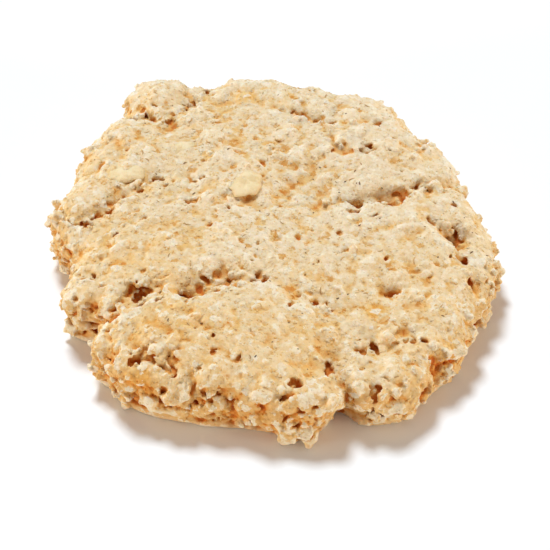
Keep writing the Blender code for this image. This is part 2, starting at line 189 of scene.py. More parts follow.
# Golden spots of the crumb: place and radius.
GOLDEN_SPOTS = (
    (-13, -15.5, 10, 2.2),
    (-18, -28.5, 7.5, 3.0),
    (14, -17, 9, 2.2),
    (24.5, -22, 6.5, 2.6),
    (-4, 27.5, 10, 2.4),
)


def smoothstep(value, low, high):
    share = np.clip((value - low) / (high - low), 0, 1)
    return share * share * (3 - 2 * share)


def steepness(rise, low=0.45, high=0.85):
    """1 on the wall and 0 on the top, from how much the skin faces up."""
    return 1 - smoothstep(rise, low, high)


def soft_noise(points, size, seed):
    """Smooth noise from -1 to 1, with features of about this size."""
    place = (points - points.min(0)) / size
    cell = place.astype(np.int64)
    share = place - cell
    share = share * share * (3 - 2 * share)
    count = cell.max(0) + 2
    lattice = np.random.default_rng(seed).uniform(-1, 1, int(count.prod()))
    start = (cell[:, 0] * count[1] + cell[:, 1]) * count[2] + cell[:, 2]
    total = np.zeros(len(points))
    for dx in (0, 1):
        for dy in (0, 1):
            for dz in (0, 1):
                weight = (share[:, 0] if dx else 1 - share[:, 0]) * (share[:, 1] if dy else 1 - share[:, 1])
                weight = weight * (share[:, 2] if dz else 1 - share[:, 2])
                total += weight * lattice[start + (dx * count[1] + dy) * count[2] + dz]
    return total


def noise_vector(points, size, seed):
    return np.stack([soft_noise(points, size, seed + axis) for axis in range(3)], 1)


def plates(points, size, seed):
    """A surface broken into plates of about this size: each point's plate level, its seam and its crown.

    A level has a random height and slope for each plate. The seam is 0 between two plates and grows
    inwards. The crown is highest in the middle of a plate, and about 0 on average.
    """
    place = (points - points.min(0)) / size + 1
    cell = place.astype(np.int64)
    count = cell.max(0) + 2
    draw = np.random.default_rng(seed)
    total = int(count.prod())
    spots = draw.random((total, 3))
    heights = draw.uniform(-0.6, 0.6, total)
    slopes = draw.uniform(-0.7, 0.7, (total, 3))
    nearest = np.full(len(points), 9.0)
    second = np.full(len(points), 9.0)
    level = np.zeros(len(points))
    start = (cell[:, 0] * count[1] + cell[:, 1]) * count[2] + cell[:, 2]
    within = place - cell
    for dx in (-1, 0, 1):
        for dy in (-1, 0, 1):
            for dz in (-1, 0, 1):
                number = start + (dx * count[1] + dy) * count[2] + dz
                away = within - spots[number] - (dx, dy, dz)
                distance = np.sqrt(np.einsum("ij,ij->i", away, away))
                closer = distance < nearest
                second = np.where(closer, nearest, np.minimum(second, distance))
                nearest = np.where(closer, distance, nearest)
                slant = heights[number] + np.einsum("ij,ij->i", slopes[number], away)
                level = np.where(closer, slant, level)
    return level, second - nearest, 0.45 - 1.25 * nearest**2


def arrays(mesh):
    points = np.empty(len(mesh.vertices) * 3, np.float32)
    mesh.vertices.foreach_get("co", points)
    normals = np.empty(len(mesh.vertices) * 3, np.float32)
    mesh.vertex_normals.foreach_get("vector", normals)
    return points.reshape(-1, 3).astype(float), normals.reshape(-1, 3).astype(float)


def triangles(mesh):
    mesh.calc_loop_triangles()
    found = np.empty(len(mesh.loop_triangles) * 3, np.int32)
    mesh.loop_triangles.foreach_get("vertices", found)
    return found.reshape(-1, 3)


def place_points(mesh, points):
    mesh.vertices.foreach_set("co", points.astype(np.float32).ravel())
    mesh.update()


def new_mesh(name, points, faces):
    mesh = bpy.data.meshes.new(name)
    mesh.from_pydata([tuple(p) for p in points], [], [tuple(f) for f in faces])
    return mesh


def new_object(name, mesh):
    made = bpy.data.objects.new(name, mesh)
    bpy.context.scene.collection.objects.link(made)
    return made


def apply_modifiers(obj):
    graph = bpy.context.evaluated_depsgraph_get()
    mesh = bpy.data.meshes.new_from_object(obj.evaluated_get(graph))
    obj.modifiers.clear()
    obj.data = mesh


def edge_pairs(mesh):
    pairs = np.empty(len(mesh.edges) * 2, np.int32)
    mesh.edges.foreach_get("vertices", pairs)
    return pairs.reshape(-1, 2)


def smoothed(points, pairs, times):
    """The points after this many rounds of moving each one to the middle of its neighbours."""
    ends = np.concatenate([pairs[:, 0], pairs[:, 1]])
    others = np.concatenate([pairs[:, 1], pairs[:, 0]])
    count = np.maximum(np.bincount(ends, minlength=len(points)), 1)
    moved = points.copy()
    for _ in range(times):
        sums = [np.bincount(ends, weights=moved[others, axis], minlength=len(points)) for axis in range(3)]
        moved = np.stack([axis_sum / count for axis_sum in sums], 1)
    return moved


def blurred(values, times):
    """The samples after this many rounds of blurring each one with its neighbours."""
    for _ in range(times):
        for axis in range(3):
            values = 0.5 * values + 0.25 * (np.roll(values, 1, axis) + np.roll(values, -1, axis))
    return values


class Dough:
    """Signed distances to the dough's skin on a box of samples, below zero inside it."""

    def __init__(self, mesh):
        points, _ = arrays(mesh)
        points *= MM_PER_METRE
        self.first = np.floor((points.min(0) - MARGIN) / SPACING).astype(int)
        last = np.ceil((points.max(0) + MARGIN) / SPACING).astype(int)
        self.transform = openvdb.createLinearTransform(voxelSize=SPACING)
        level = openvdb.FloatGrid.createLevelSetFromPolygons(
            points.astype(np.float32),
            triangles=triangles(mesh).astype(np.uint32),
            transform=self.transform,
            halfWidth=REACH / SPACING,
        )
        values = np.empty(last - self.first, np.float32)
        level.copyToArray(values, ijk=tuple(int(i) for i in self.first))
        self.packed = blurred(values, FACET_BLUR)
        self.values = self.packed.copy()
        self.tones = np.zeros_like(values)
        self.shifts = np.zeros((*values.shape, 3), np.float32)
        self.top = points[:, 2].max()

    def near_skin(self, inside, outside):
        """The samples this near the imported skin: their indices, and their places."""
        index = np.nonzero((self.packed > -inside) & (self.packed < outside))
        return index, (np.stack(index, 1) + self.first) * SPACING

    def block(self, centre, reach):
        """The slices of the box round a place, with the samples' places as they are bent out of true."""
        low = np.maximum(np.floor((centre - reach) / SPACING).astype(int) - self.first, 0)
        high = np.ceil((centre + reach) / SPACING).astype(int) - self.first + 1
        high = np.minimum(high, self.values.shape)
        slices = tuple(slice(a, b) for a, b in zip(low, high))
        axes = [(np.arange(a, b) + f) * SPACING for a, b, f in zip(low, high, self.first)]
        places = np.stack(np.meshgrid(*axes, indexing="ij"), -1)
        return slices, places + self.shifts[slices]

    def lump_distance(self, places, centre, facing, radii):
        """Signed distance to a rounded block of these half sizes, along the axes in facing's columns."""
        scaled = (places - centre) @ facing / radii
        size = (scaled**4).sum(-1) ** 0.25 + 1e-6
        slope = np.sqrt(((scaled**3 / radii) ** 2).sum(-1)) / size**3 + 1e-6
        return (size - 1) / slope

    def add(self, centre, facing, radii, tone, melt=0.3):
        """Adds a lump that melts into the dough around it."""
        slices, places = self.block(centre, radii.max() + 1.0)
        distance = self.lump_distance(places, centre, facing, radii)
        before = self.values[slices]
        overlap = np.maximum(melt - np.abs(before - distance), 0) / melt
        self.tones[slices][distance < before] = tone
        self.values[slices] = np.minimum(before, distance) - 0.25 * melt * overlap**2

    def carve(self, centre, facing, radii, melt=0.12):
        """Carves a hollow of a lump's shape."""
        slices, places = self.block(centre, radii.max() + 1.0)
        distance = -self.lump_distance(places, centre, facing, radii)
        before = self.values[slices]
        overlap = np.maximum(melt - np.abs(before - distance), 0) / melt
        self.values[slices] = np.maximum(before, distance) + 0.25 * melt * overlap**2

    def mesh(self, name, values):
        grid = openvdb.FloatGrid(REACH)
        grid.copyFromArray(values.astype(np.float32), ijk=tuple(int(i) for i in self.first))
        grid.transform = self.transform
        points, tris, quads = grid.convertToPolygons(isovalue=0.0, adaptivity=0.0)
        return new_mesh(name, points.tolist(), quads.tolist() + tris.tolist())

    def sample(self, values, points):
        """The samples nearest to these places."""
        index = np.rint(points / SPACING).astype(int) - self.first
        index = np.clip(index, 0, np.array(values.shape) - 1)
        return values[index[:, 0], index[:, 1], index[:, 2]]


def surface_samples(mesh, count, *names):
    """Random points of a skin, each with the skin's normal and these stored values, spread by area."""
    points, normals = arrays(mesh)
    tris = triangles(mesh)
    a, b, c = points[tris[:, 0]], points[tris[:, 1]], points[tris[:, 2]]
    area = np.linalg.norm(np.cross(b - a, c - a), axis=1)
    chosen = rng.choice(len(tris), count, p=area / area.sum())
    u, v = rng.random(count), rng.random(count)
    over = u + v > 1
    u[over], v[over] = 1 - u[over], 1 - v[over]
    w = (1 - u - v)[:, None]
    u, v = u[:, None], v[:, None]
    tri = tris[chosen]
    spots = w * points[tri[:, 0]] + u * points[tri[:, 1]] + v * points[tri[:, 2]]
    facing = w * normals[tri[:, 0]] + u * normals[tri[:, 1]] + v * normals[tri[:, 2]]
    facing /= np.linalg.norm(facing, axis=1)[:, None] + 1e-9
    values = []
    for name in names:
        stored = np.empty(len(points), np.float32)
        mesh.attributes[name].data.foreach_get("value", stored)
        values.append(stored[tri[:, 0]])
    return spots, facing, *values


def spread_out(spots, gap):
    """The indices of samples kept so that each stays this far from those kept before it."""
    grid = {}
    kept = []
    keys = np.floor(spots / gap).astype(int)
    for i, (x, y, z) in enumerate(keys):
        around = [
            j
            for dx in (-1, 0, 1)
            for dy in (-1, 0, 1)
            for dz in (-1, 0, 1)
            for j in grid.get((x + dx, y + dy, z + dz), ())
        ]
        if not around or np.square(spots[around] - spots[i]).sum(1).min() > gap * gap:
            grid.setdefault((x, y, z), []).append(i)
            kept.append(i)
    return np.array(kept)


def laid_flat(normal, turn, tilt_x, tilt_y):
    """Axes with Z along a normal, turned about it and tilted (in radians), as a matrix's columns."""
    facing = Vector(normal).to_track_quat("Z", "Y").to_matrix()
    for angle, axis in ((turn, "Z"), (tilt_x, "X"), (tilt_y, "Y")):
        facing = facing @ Matrix.Rotation(angle, 3, axis)
    return np.array(facing)


def bend_space(dough):
    """Bends the space near the skin out of true, so that nothing set in it has a regular outline."""
    index, places = dough.near_skin(2.6, 1.3)
    bent = 0.50 * noise_vector(places, 1.9, 101) + 0.30 * noise_vector(places, 0.85, 111)
    bent += 0.16 * noise_vector(places, 0.5, 115)
    dough.shifts[index] = bent.astype(np.float32)


def smooth_foot(places):
    """How high the smooth baked crust reaches up the wall. It shows at the front left only."""
    bearing = np.degrees(np.arctan2(places[:, 1], places[:, 0])) % 360
    return 1.2 * (smoothstep(bearing, 190, 205) * (1 - smoothstep(bearing, 250, 268)))


def break_skin(dough):
    """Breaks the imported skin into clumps, granules, crevices and fine grain, all coarser on the wall."""
    index, places = dough.near_skin(1.5, 1.3)
    wall = steepness(np.gradient(dough.packed, SPACING, axis=2)[index], 0.20, 0.70)
    bent = places + dough.shifts[index]
    moved = (0.08 + 0.12 * wall) * soft_noise(places, 4.2, 121) - 0.26 * wall
    clump, clump_seam, clump_crown = plates(bent, CLUMP_SIZE, 131)
    grain, grain_seam, grain_crown = plates(bent, GRAIN_SIZE, 141)
    moved += (0.04 + 0.16 * wall) * clump + (0.06 + 0.32 * wall) * clump_crown
    moved += (0.05 + 0.10 * wall) * grain + (0.10 + 0.12 * wall) * grain_crown
    cracked = smoothstep(soft_noise(places, 3.0, 151), 0.0, 0.6)
    open_clump = np.maximum(cracked, 0.7 * wall) * (1 - smoothstep(clump_seam, 0.02, 0.16))
    open_grain = np.maximum(cracked, 0.5 * wall) * (1 - smoothstep(grain_seam, 0.02, 0.20))
    moved -= (0.04 + 0.32 * wall) * open_clump + (0.05 + 0.10 * wall) * open_grain
    pores = smoothstep(soft_noise(bent, 0.8, 161), 0.5, 0.85)
    moved -= (0.16 + 0.2 * wall) * pores
    moved += 0.10 * soft_noise(places, 0.8, 171) + 0.13 * soft_noise(places, 0.5, 181)
    moved *= smoothstep(places[:, 2] - smooth_foot(places), 0.1, 0.8)
    dough.values[index] -= moved.astype(np.float32)
    dough.tones[index] = (0.45 * clump + 0.35 * grain).astype(np.float32)


def spaced_spots(skin, count, gap, lowest, overhang):
    """Random places of the skin with their normals, this far apart, above the foot and not facing down."""
    spots, normals = surface_samples(skin, count)
    wanted = (normals[:, 2] > -overhang) & (spots[:, 2] > lowest)
    spots, normals = spots[wanted], normals[wanted]
    kept = spread_out(spots, gap)
    return zip(spots[kept], normals[kept])


def add_chips(dough, skin):
    """Chips of oat set into the skin: flat ones on the top, blocky ones on the wall."""
    for spot, normal in spaced_spots(skin, 14000, gap=1.5, lowest=1.5, overhang=0.3):
        wall = steepness(normal[2])
        if rng.random() < 0.35 + 0.30 * (1 - wall):
            continue
        in_a_hollow = dough.sample(dough.values, spot[None])[0] > 0.35
        if in_a_hollow and rng.random() < 0.8:
            continue
        length = rng.uniform(0.5, 1.3) * (1 - 0.15 * wall)
        if rng.random() < wall:
            radii = length * np.array((1.0, rng.uniform(0.6, 0.95), rng.uniform(0.4, 0.75)))
            facing = laid_flat(normal, rng.uniform(0, 6.3), rng.normal(0, 0.7), rng.normal(0, 0.7))
            rise = rng.uniform(-0.60, 0.0)
        else:
            radii = np.array((length, length * rng.uniform(0.55, 0.9), rng.uniform(0.20, 0.30)))
            facing = laid_flat(normal, rng.uniform(0, 6.3), rng.normal(0, 0.12), rng.normal(0, 0.12))
            rise = rng.uniform(-0.34, -0.10)
        dough.add(spot + normal * rise, facing, radii, rng.uniform(-1, 1))


def crack_steps(start, stride):
    """Places along every crack: X, Y, the crack's bearing there, its half width and its depth."""
    for points, width, depth in CRACKS:
        for (ax, ay), (bx, by) in zip(points, points[1:]):
            run = math.hypot(bx - ax, by - ay)
            bearing = math.atan2(by - ay, bx - ax)
            for step in np.arange(start, run, stride):
                yield ax + (bx - ax) * step / run, ay + (by - ay) * step / run, bearing, width, depth


def top_at(tree, x, y):
    """The place of the skin's top here, or None beside the biscuit."""
    above = 40
    hit = tree.ray_cast(Vector((x, y, above)), Vector((0, 0, -1)))[0]
    return None if hit is None else np.array(hit)


def fill_cracks(dough, tree):
    """Lumps of crumb that have fallen into the cracks and bridge them here and there."""
    for x, y, _, _, _ in crack_steps(start=0.3, stride=1.2):
        if rng.random() < 0.55:
            continue
        hit = top_at(tree, x + rng.normal(0, 0.5), y + rng.normal(0, 0.5))
        if hit is not None:
            radii = rng.uniform(0.5, 1.2) * np.array((1.0, rng.uniform(0.6, 0.9), rng.uniform(0.5, 0.8)))
            facing = laid_flat((0, 0, 1), rng.uniform(0, 6.3), rng.normal(0, 0.4), rng.normal(0, 0.4))
            place = hit + (0, 0, rng.uniform(-0.3, 0.2))
            dough.add(place, facing, radii, rng.uniform(-1, 1))


def carve_cracks(dough, tree):
    for x, y, bearing, width, depth in crack_steps(start=0.4, stride=0.9):
        hit = top_at(tree, x, y)
        if hit is None or rng.random() < 0.35:
            continue
        turn = bearing + rng.normal(0, 0.3)
        length = rng.uniform(0.6, 1.2)
        radii = np.array((length, width * rng.uniform(0.4, 1.1), depth * rng.uniform(0.3, 0.8)))
        place = hit + (rng.normal(0, 0.3), rng.normal(0, 0.3), 0)
        dough.carve(place, laid_flat((0, 0, 1), turn, rng.normal(0, 0.3), 0), radii)


def carve_small_pits(dough, skin):
    """Small pits scattered between the cracks, more of them on the wall."""
    for spot, normal in spaced_spots(skin, 6000, gap=2.3, lowest=1.6, overhang=0.2):
        wall = steepness(normal[2])
        if rng.random() > 0.24 + 0.35 * wall:
            continue
        length = rng.uniform(0.3, 0.75) * (1 + 0.35 * wall)
        radii = np.array((length, length * rng.uniform(0.3, 0.8), rng.uniform(0.25, 0.6) * (1 + 0.8 * wall)))
        facing = laid_flat(normal, rng.uniform(0, 6.3), rng.normal(0, 0.35), rng.normal(0, 0.35))
        dough.carve(spot, facing, radii)


def carve_pits(dough, tree):
    """The pits that show dark, each of a few blocky hollows."""
    for (length, width, depth), places in PITS:
        scatter = 0.7 if length > SMALL_PIT else 1.2
        for x, y, z, turn in places:
            spot, normal, _, _ = tree.find_nearest(Vector((x, y, z)))
            facing = laid_flat(normal, math.radians(turn), rng.normal(0, 0.2), 0)
            for _ in range(HOLLOWS_IN_A_PIT):
                along = rng.uniform(-scatter, scatter) * length
                across = rng.uniform(-scatter, scatter) * width
                place = np.array(spot) + facing @ (along, across, 0.1)
                tilted = facing @ laid_flat((0, 0, 1), rng.normal(0, 0.6), rng.normal(0, 0.3), 0)
                shrink = rng.uniform(0.4, 0.8, 3) * (1.15 - 0.35 * scatter)
                dough.carve(place, tilted, shrink * (length, width, PIT_DEPTH_SHARE * depth))


def crumble_hollows(dough):
    """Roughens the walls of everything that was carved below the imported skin."""
    index = np.nonzero((np.abs(dough.values) < 0.6) & (dough.packed < -0.35))
    places = (np.stack(index, 1) + dough.first) * SPACING
    crumbled = 0.14 * soft_noise(places, 0.9, 191) + 0.10 * soft_noise(places, 0.5, 201)
    dough.values[index] -= crumbled.astype(np.float32)


def add_bits(dough, tree):
    """The pale bits of oat that stand out of the wall."""
    for x, y, z, *radii in BITS:
        spot, normal, _, _ = tree.find_nearest(Vector((x, y, z)))
        facing = laid_flat(normal, rng.uniform(-0.4, 0.4), rng.normal(0, 0.2), rng.normal(0, 0.2))
        dough.add(np.array(spot) - np.array(normal) * 0.1, facing, np.array(radii), BIT_TONE, 0.35)


def close_dough(dough):
    """Cuts the dough level with the surface it lies on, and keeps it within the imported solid's height."""
    heights = (np.arange(dough.values.shape[2]) + dough.first[2]) * SPACING
    lowest = -heights[None, None, :]
    highest = heights[None, None, :] - (dough.top + PROUD)
    dough.values = np.maximum(dough.values, np.maximum(lowest, highest)).astype(np.float32)


def keep_largest(mesh):
    """Drops every loose scrap and sealed bubble."""
    pairs = edge_pairs(mesh)
    label = np.arange(len(mesh.vertices))
    while True:
        low = np.minimum(label[pairs[:, 0]], label[pairs[:, 1]])
        before = label.copy()
        np.minimum.at(label, pairs[:, 0], low)
        np.minimum.at(label, pairs[:, 1], low)
        label = label[label]
        if (label == before).all():
            break
    main = np.bincount(label).argmax()
    bm = bmesh.new()
    bm.from_mesh(mesh)
    bm.verts.ensure_lookup_table()
    bmesh.ops.delete(bm, geom=[bm.verts[i] for i in np.flatnonzero(label != main)], context="VERTS")
    bm.to_mesh(mesh)
    bm.free()


def store(mesh, name, values):
    attribute = mesh.attributes.new(name, "FLOAT", "POINT")
    attribute.data.foreach_set("value", values.astype(np.float32))


def mark_crumb(dough, mesh):
    """Stores each point's browning, partly baking and partly painted shade, which is most in deep and narrow
    hollows, its tone, and its wall.
    """
    points, _ = arrays(mesh)
    pairs = edge_pairs(mesh)
    near = smoothed(points, pairs, 1)
    copy = mesh.copy()
    place_points(copy, smoothed(points, pairs, 4))
    _, normals = arrays(copy)
    bpy.data.meshes.remove(copy)
    # Painted shade, partly real baking: darker the deeper a point lies below the imported skin and the more
    # it sits in a hollow.
    baked_and_shade = -0.28 * dough.sample(dough.packed, points)
    for gain, times in ((2.0, 4), (1.3, 16), (0.5, 70)):
        far = smoothed(points, pairs, times)
        baked_and_shade += gain * np.einsum("ij,ij->i", far - near, normals)
    store(mesh, "baked_and_shade", baked_and_shade)
    store(mesh, "tone", dough.sample(blurred(dough.tones, 1), points))
    rise = np.gradient(dough.packed, SPACING, axis=2)
    store(mesh, "wall", steepness(dough.sample(rise, points), 0.3, 0.85))


def thin_out(obj, count):
    decimate = obj.modifiers.new("thin", "DECIMATE")
    obj.data.calc_loop_triangles()
    decimate.ratio = min(1.0, count / len(obj.data.loop_triangles))
    decimate.use_collapse_triangulate = True
    apply_modifiers(obj)


def unit_ball(detail):
    bm = bmesh.new()
    bmesh.ops.create_icosphere(bm, subdivisions=detail, radius=1.0)
    points = np.array([v.co[:] for v in bm.verts])
    faces = np.array([[v.index for v in f.verts] for f in bm.faces])
    bm.free()
    return points, faces


def turned(count):
    """This many random rotation matrices."""
    q = rng.normal(size=(count, 4))
    q /= np.linalg.norm(q, axis=1)[:, None]
    w, x, y, z = q.T
    return np.stack(
        [
            np.stack([1 - 2 * (y * y + z * z), 2 * (x * y - z * w), 2 * (x * z + y * w)], 1),
            np.stack([2 * (x * y + z * w), 1 - 2 * (x * x + z * z), 2 * (y * z - x * w)], 1),
            np.stack([2 * (x * z - y * w), 2 * (y * z + x * w), 1 - 2 * (x * x + y * y)], 1),
        ],
        1,
    )


def many_grains(centres, radii):
    """Angular grains as one set of points and faces."""
    points, faces = unit_ball(1)
    count = len(centres)
    stretch = np.stack([np.ones(count), rng.uniform(0.5, 0.95, count), rng.uniform(0.45, 0.8, count)], 1)
    wobble = 1 + 0.22 * rng.uniform(-1, 1, (count, len(points), 1))
    shaped = points[None] * wobble * stretch[:, None] * radii[:, None, None]
    placed = np.einsum("nij,nkj->nki", turned(count), shaped) + centres[:, None]
    every = faces[None] + (np.arange(count) * len(points))[:, None, None]
    return placed.reshape(-1, 3), every.reshape(-1, 3)


def flake_outline(bearing, phase):
    """How far a flake's edge is from its middle at each bearing: about 1, with waves and small nicks."""
    edge = 1 + 0.05 * np.sin(2 * bearing + phase[0]) + 0.04 * np.sin(3 * bearing + phase[1])
    edge += 0.06 * np.sin(5 * bearing + phase[2]) + 0.05 * np.sin(9 * bearing + phase[3])
    return edge + rng.uniform(-0.05, 0.05, len(bearing))


def flake_faces(segments, loops):
    """Joins a top point, these loops of points below each other, and a bottom point."""
    faces = [(0, 1 + k, 1 + (k + 1) % segments) for k in range(segments)]
    for loop in range(loops - 1):
        low, high = 1 + loop * segments, 1 + (loop + 1) * segments
        for k in range(segments):
            following = (k + 1) % segments
            faces.append((low + k, high + k, high + following))
            faces.append((low + k, high + following, low + following))
    last, bottom = 1 + (loops - 1) * segments, 1 + loops * segments
    faces += [(bottom, last + (k + 1) % segments, last + k) for k in range(segments)]
    return np.array(faces)


def flake_mesh(length, width, thickness):
    """A thin, uneven, slightly domed oval: its points, how near its rim each of them is, and its faces."""
    segments, rings = 26, (0.0, 0.35, 0.65, 0.86, 0.97)
    bearing = np.linspace(0, 2 * math.pi, segments, endpoint=False)
    phase = rng.uniform(0, 2 * math.pi, 4)
    edge = flake_outline(bearing, phase)
    cup = rng.uniform(-0.05, -0.01)
    points, rim = [], []
    for side in (1, -1):
        for ring in rings if side == 1 else rings[::-1]:
            if ring == 0.0:
                points.append((0.0, 0.0, side * thickness / 2))
                rim.append(0.0)
                continue
            for k in range(segments):
                x = ring * edge[k] * math.cos(bearing[k]) * length / 2
                y = ring * edge[k] * math.sin(bearing[k]) * width / 2
                z = side * thickness / 2 * (1 - ring**4)
                points.append((x, y, z + cup * (x * x + 1.6 * y * y)))
                rim.append(ring)
    points = np.array(points)
    points += 0.13 * noise_vector(points, 1.3, int(phase[0] * 1000))
    points += 0.08 * noise_vector(points, 0.6, int(phase[1] * 1000))
    return points, rim, flake_faces(segments, 2 * (len(rings) - 1))


def skin_tree(mesh):
    points, _ = arrays(mesh)
    return BVHTree.FromPolygons([tuple(p) for p in points], [tuple(t) for t in triangles(mesh)])


def flat_normal(tree, place, reach):
    """The skin's mean normal round a place, so that a flake lies across the small bumps."""
    total = Vector()
    for _, normal, _, _ in tree.find_nearest_range(place, reach):
        total += normal
    return total.normalized()


def within_height(points, top):
    """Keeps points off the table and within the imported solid's height."""
    points[:, 2] = np.clip(points[:, 2], 0.02, top + PROUD)
    return points


def oat_flakes(tree, top):
    """The flakes, each laid along the skin and sunk a little into it."""
    every_point, every_rim, every_face, base = [], [], [], 0
    for x, y, z, length, thickness, turn, tilt in FLAKES:
        place = tree.find_nearest(Vector((x, y, z)))[0]
        normal = flat_normal(tree, place, 0.5 * length)
        points, rim, faces = flake_mesh(length, length * rng.uniform(0.70, 0.82), thickness)
        facing = laid_flat(normal, math.radians(turn), math.radians(tilt), 0)
        points = points @ facing.T + np.array(place - normal * 0.15)
        every_point.append(points)
        every_rim += rim
        every_face.append(faces + base)
        base += len(points)
    points = within_height(np.concatenate(every_point), top)
    mesh = new_mesh("oat_flakes", points, np.concatenate(every_face))
    store(mesh, "rim", np.array(every_rim))
    return new_object("oat_flakes", mesh)


def scattered_grains(name, mesh, top, count, smallest, largest):
    """Angular grains half sunk in the crumb, everywhere but in the deep pits."""
    spots, facing, baked_and_shade, wall = surface_samples(mesh, 3 * count, "baked_and_shade", "wall")
    wanted = (facing[:, 2] > -0.4) & (spots[:, 2] > 1.8) & (baked_and_shade < 0.45)
    wanted &= rng.random(len(spots)) < 0.6 + 0.4 * wall
    spots, facing, baked_and_shade, wall = (part[wanted][:count] for part in (spots, facing, baked_and_shade, wall))
    radii = rng.uniform(smallest, largest, len(spots))
    points, faces = many_grains(spots - facing * (0.50 * radii)[:, None], radii)
    mesh = new_mesh(name, within_height(points, top), faces)
    corners = len(points) // len(spots)
    # The grains carry the crumb's painted hollow shade from where they sit.
    store(mesh, "baked_and_shade", np.repeat(baked_and_shade, corners))
    store(mesh, "tone", np.repeat(rng.uniform(-1, 1, len(spots)), corners))
    store(mesh, "wall", np.repeat(wall, corners))
    return new_object(name, mesh)


def slivers(name, mesh, count, lengths, breadth):
    """Slivers of bran or hull, pressed flat into the crumb."""
    spots, facing = surface_samples(mesh, 6 * count)
    wanted = (facing[:, 2] > 0.55) & (spots[:, 2] > 3.0)
    spots, facing = spots[wanted][:count], facing[wanted][:count]
    points, faces = unit_ball(2)
    every_point, every_face, base = [], [], 0
    for spot, normal in zip(spots, facing):
        length = rng.choice(lengths)
        shaped = points * (length, breadth + 0.1 * length, 0.07)
        shaped[:, 1] += rng.uniform(-0.5, 0.5) * shaped[:, 0] ** 2 / length
        turn = laid_flat(normal, rng.uniform(0, 6.28), 0, rng.uniform(-0.3, 0.3))
        every_point.append(shaped @ turn.T + spot + normal * 0.02)
        every_face.append(faces + base)
        base += len(points)
    return new_object(name, new_mesh(name, np.concatenate(every_point), np.concatenate(every_face)))


def feed(tree, socket, value):
    """Links a socket to another node's output, or sets it to a constant."""
    if isinstance(value, bpy.types.NodeSocket):
        tree.links.new(value, socket)
    else:
        socket.default_value = value


def node(tree, kind, inputs=None, **settings):
    made = tree.nodes.new(kind)
    for name, value in settings.items():
        setattr(made, name, value)
    for name, value in (inputs or {}).items():
        feed(tree, made.inputs[name], value)
    return made


def math_node(tree, operation, *values):
    return node(tree, "ShaderNodeMath", dict(enumerate(values)), operation=operation).outputs[0]


def vector_node(tree, operation, a, b):
    return node(tree, "ShaderNodeVectorMath", {0: a, 1: b}, operation=operation).outputs["Vector"]


def length_node(tree, vector):
    return node(tree, "ShaderNodeVectorMath", {0: vector}, operation="LENGTH").outputs["Value"]


def ramp(tree, factor, stops):
    made = tree.nodes.new("ShaderNodeValToRGB")
    tree.links.new(factor, made.inputs[0])
    elements = made.color_ramp.elements
    while len(elements) < len(stops):
        elements.new(0.5)
    for element, (at, colour) in zip(elements, stops):
        element.position = at
        element.color = (*colour, 1)
    return made.outputs[0]


def mix_colour(tree, factor, a, b, blend="MIX"):
    made = tree.nodes.new("ShaderNodeMix")
    made.data_type = "RGBA"
    made.blend_type = blend
    for index, value in ((0, factor), (6, a), (7, b)):
        if isinstance(value, tuple):
            value = (*value, 1)
        feed(tree, made.inputs[index], value)
    return made.outputs[2]


def tinted(tree, colour, tint, factor=1.0):
    """A colour multiplied by a tint, all of it or only where the factor says so."""
    return mix_colour(tree, factor, colour, tint, "MULTIPLY")


def noise_node(tree, vector, size_mm, detail=3.0, roughness=0.55, output="Fac"):
    made = tree.nodes.new("ShaderNodeTexNoise")
    made.inputs["Scale"].default_value = MM_PER_METRE / size_mm
    made.inputs["Detail"].default_value = detail
    made.inputs["Roughness"].default_value = roughness
    tree.links.new(vector, made.inputs["Vector"])
    return made.outputs[output]


def cells(tree, place, size_mm, shift):
    """A random value for each ragged cell of about this size, and the distance from its middle."""
    wander = noise_node(tree, place, 0.5 * size_mm, detail=2.0, roughness=0.6, output="Color")
    wander = vector_node(tree, "SUBTRACT", wander, (0.5 - shift, 0.5, 0.5))
    wander = vector_node(tree, "MULTIPLY", wander, (1.1 * MM * size_mm,) * 3)
    wandered = vector_node(tree, "ADD", place, wander)
    voronoi = node(tree, "ShaderNodeTexVoronoi", {"Vector": wandered, "Scale": MM_PER_METRE / size_mm})
    drawn = node(tree, "ShaderNodeSeparateColor", {"Color": voronoi.outputs["Color"]}).outputs["Red"]
    return drawn, voronoi.outputs["Distance"]


def between(tree, value, low, high):
    """0 below low, 1 above high, and a smooth rise between."""
    ranged = node(tree, "ShaderNodeMapRange", {"Value": value, "From Min": low, "From Max": high})
    ranged.interpolation_type = "SMOOTHSTEP"
    return ranged.outputs["Result"]


def new_material(name):
    material = bpy.data.materials.new(name)
    material.use_nodes = True
    return material, material.node_tree, material.node_tree.nodes["Principled BSDF"]


def set_bump(tree, shader, height, strength):
    bump = node(tree, "ShaderNodeBump", {"Strength": strength, "Distance": 0.2 * MM, "Height": height})
    tree.links.new(bump.outputs["Normal"], shader.inputs["Normal"])


def set_roughness(tree, shader, value, low, high):
    rough = node(tree, "ShaderNodeMapRange", {"Value": value, "To Min": low, "To Max": high})
    tree.links.new(rough.outputs["Result"], shader.inputs["Roughness"])


def soft_inside(shader, weight, depth_mm):
    shader.inputs["Subsurface Weight"].default_value = weight
    shader.inputs["Subsurface Radius"].default_value = (1.0, 0.7, 0.45)
    shader.inputs["Subsurface Scale"].default_value = depth_mm * MM


def attribute(tree, name):
    return node(tree, "ShaderNodeAttribute", attribute_name=name).outputs["Fac"]


# Colours by tone, from the cream of the middle of the top to the gold of the wall.
TONE_COLOURS = (
    (0.20, (0.83, 0.70, 0.52)),
    (0.45, (0.83, 0.66, 0.43)),
    (0.68, (0.82, 0.58, 0.29)),
    (0.90, (0.80, 0.50, 0.20)),
)
WHITISH = (0.87, 0.76, 0.59)
FOOT_COLOUR = (0.76, 0.57, 0.40)
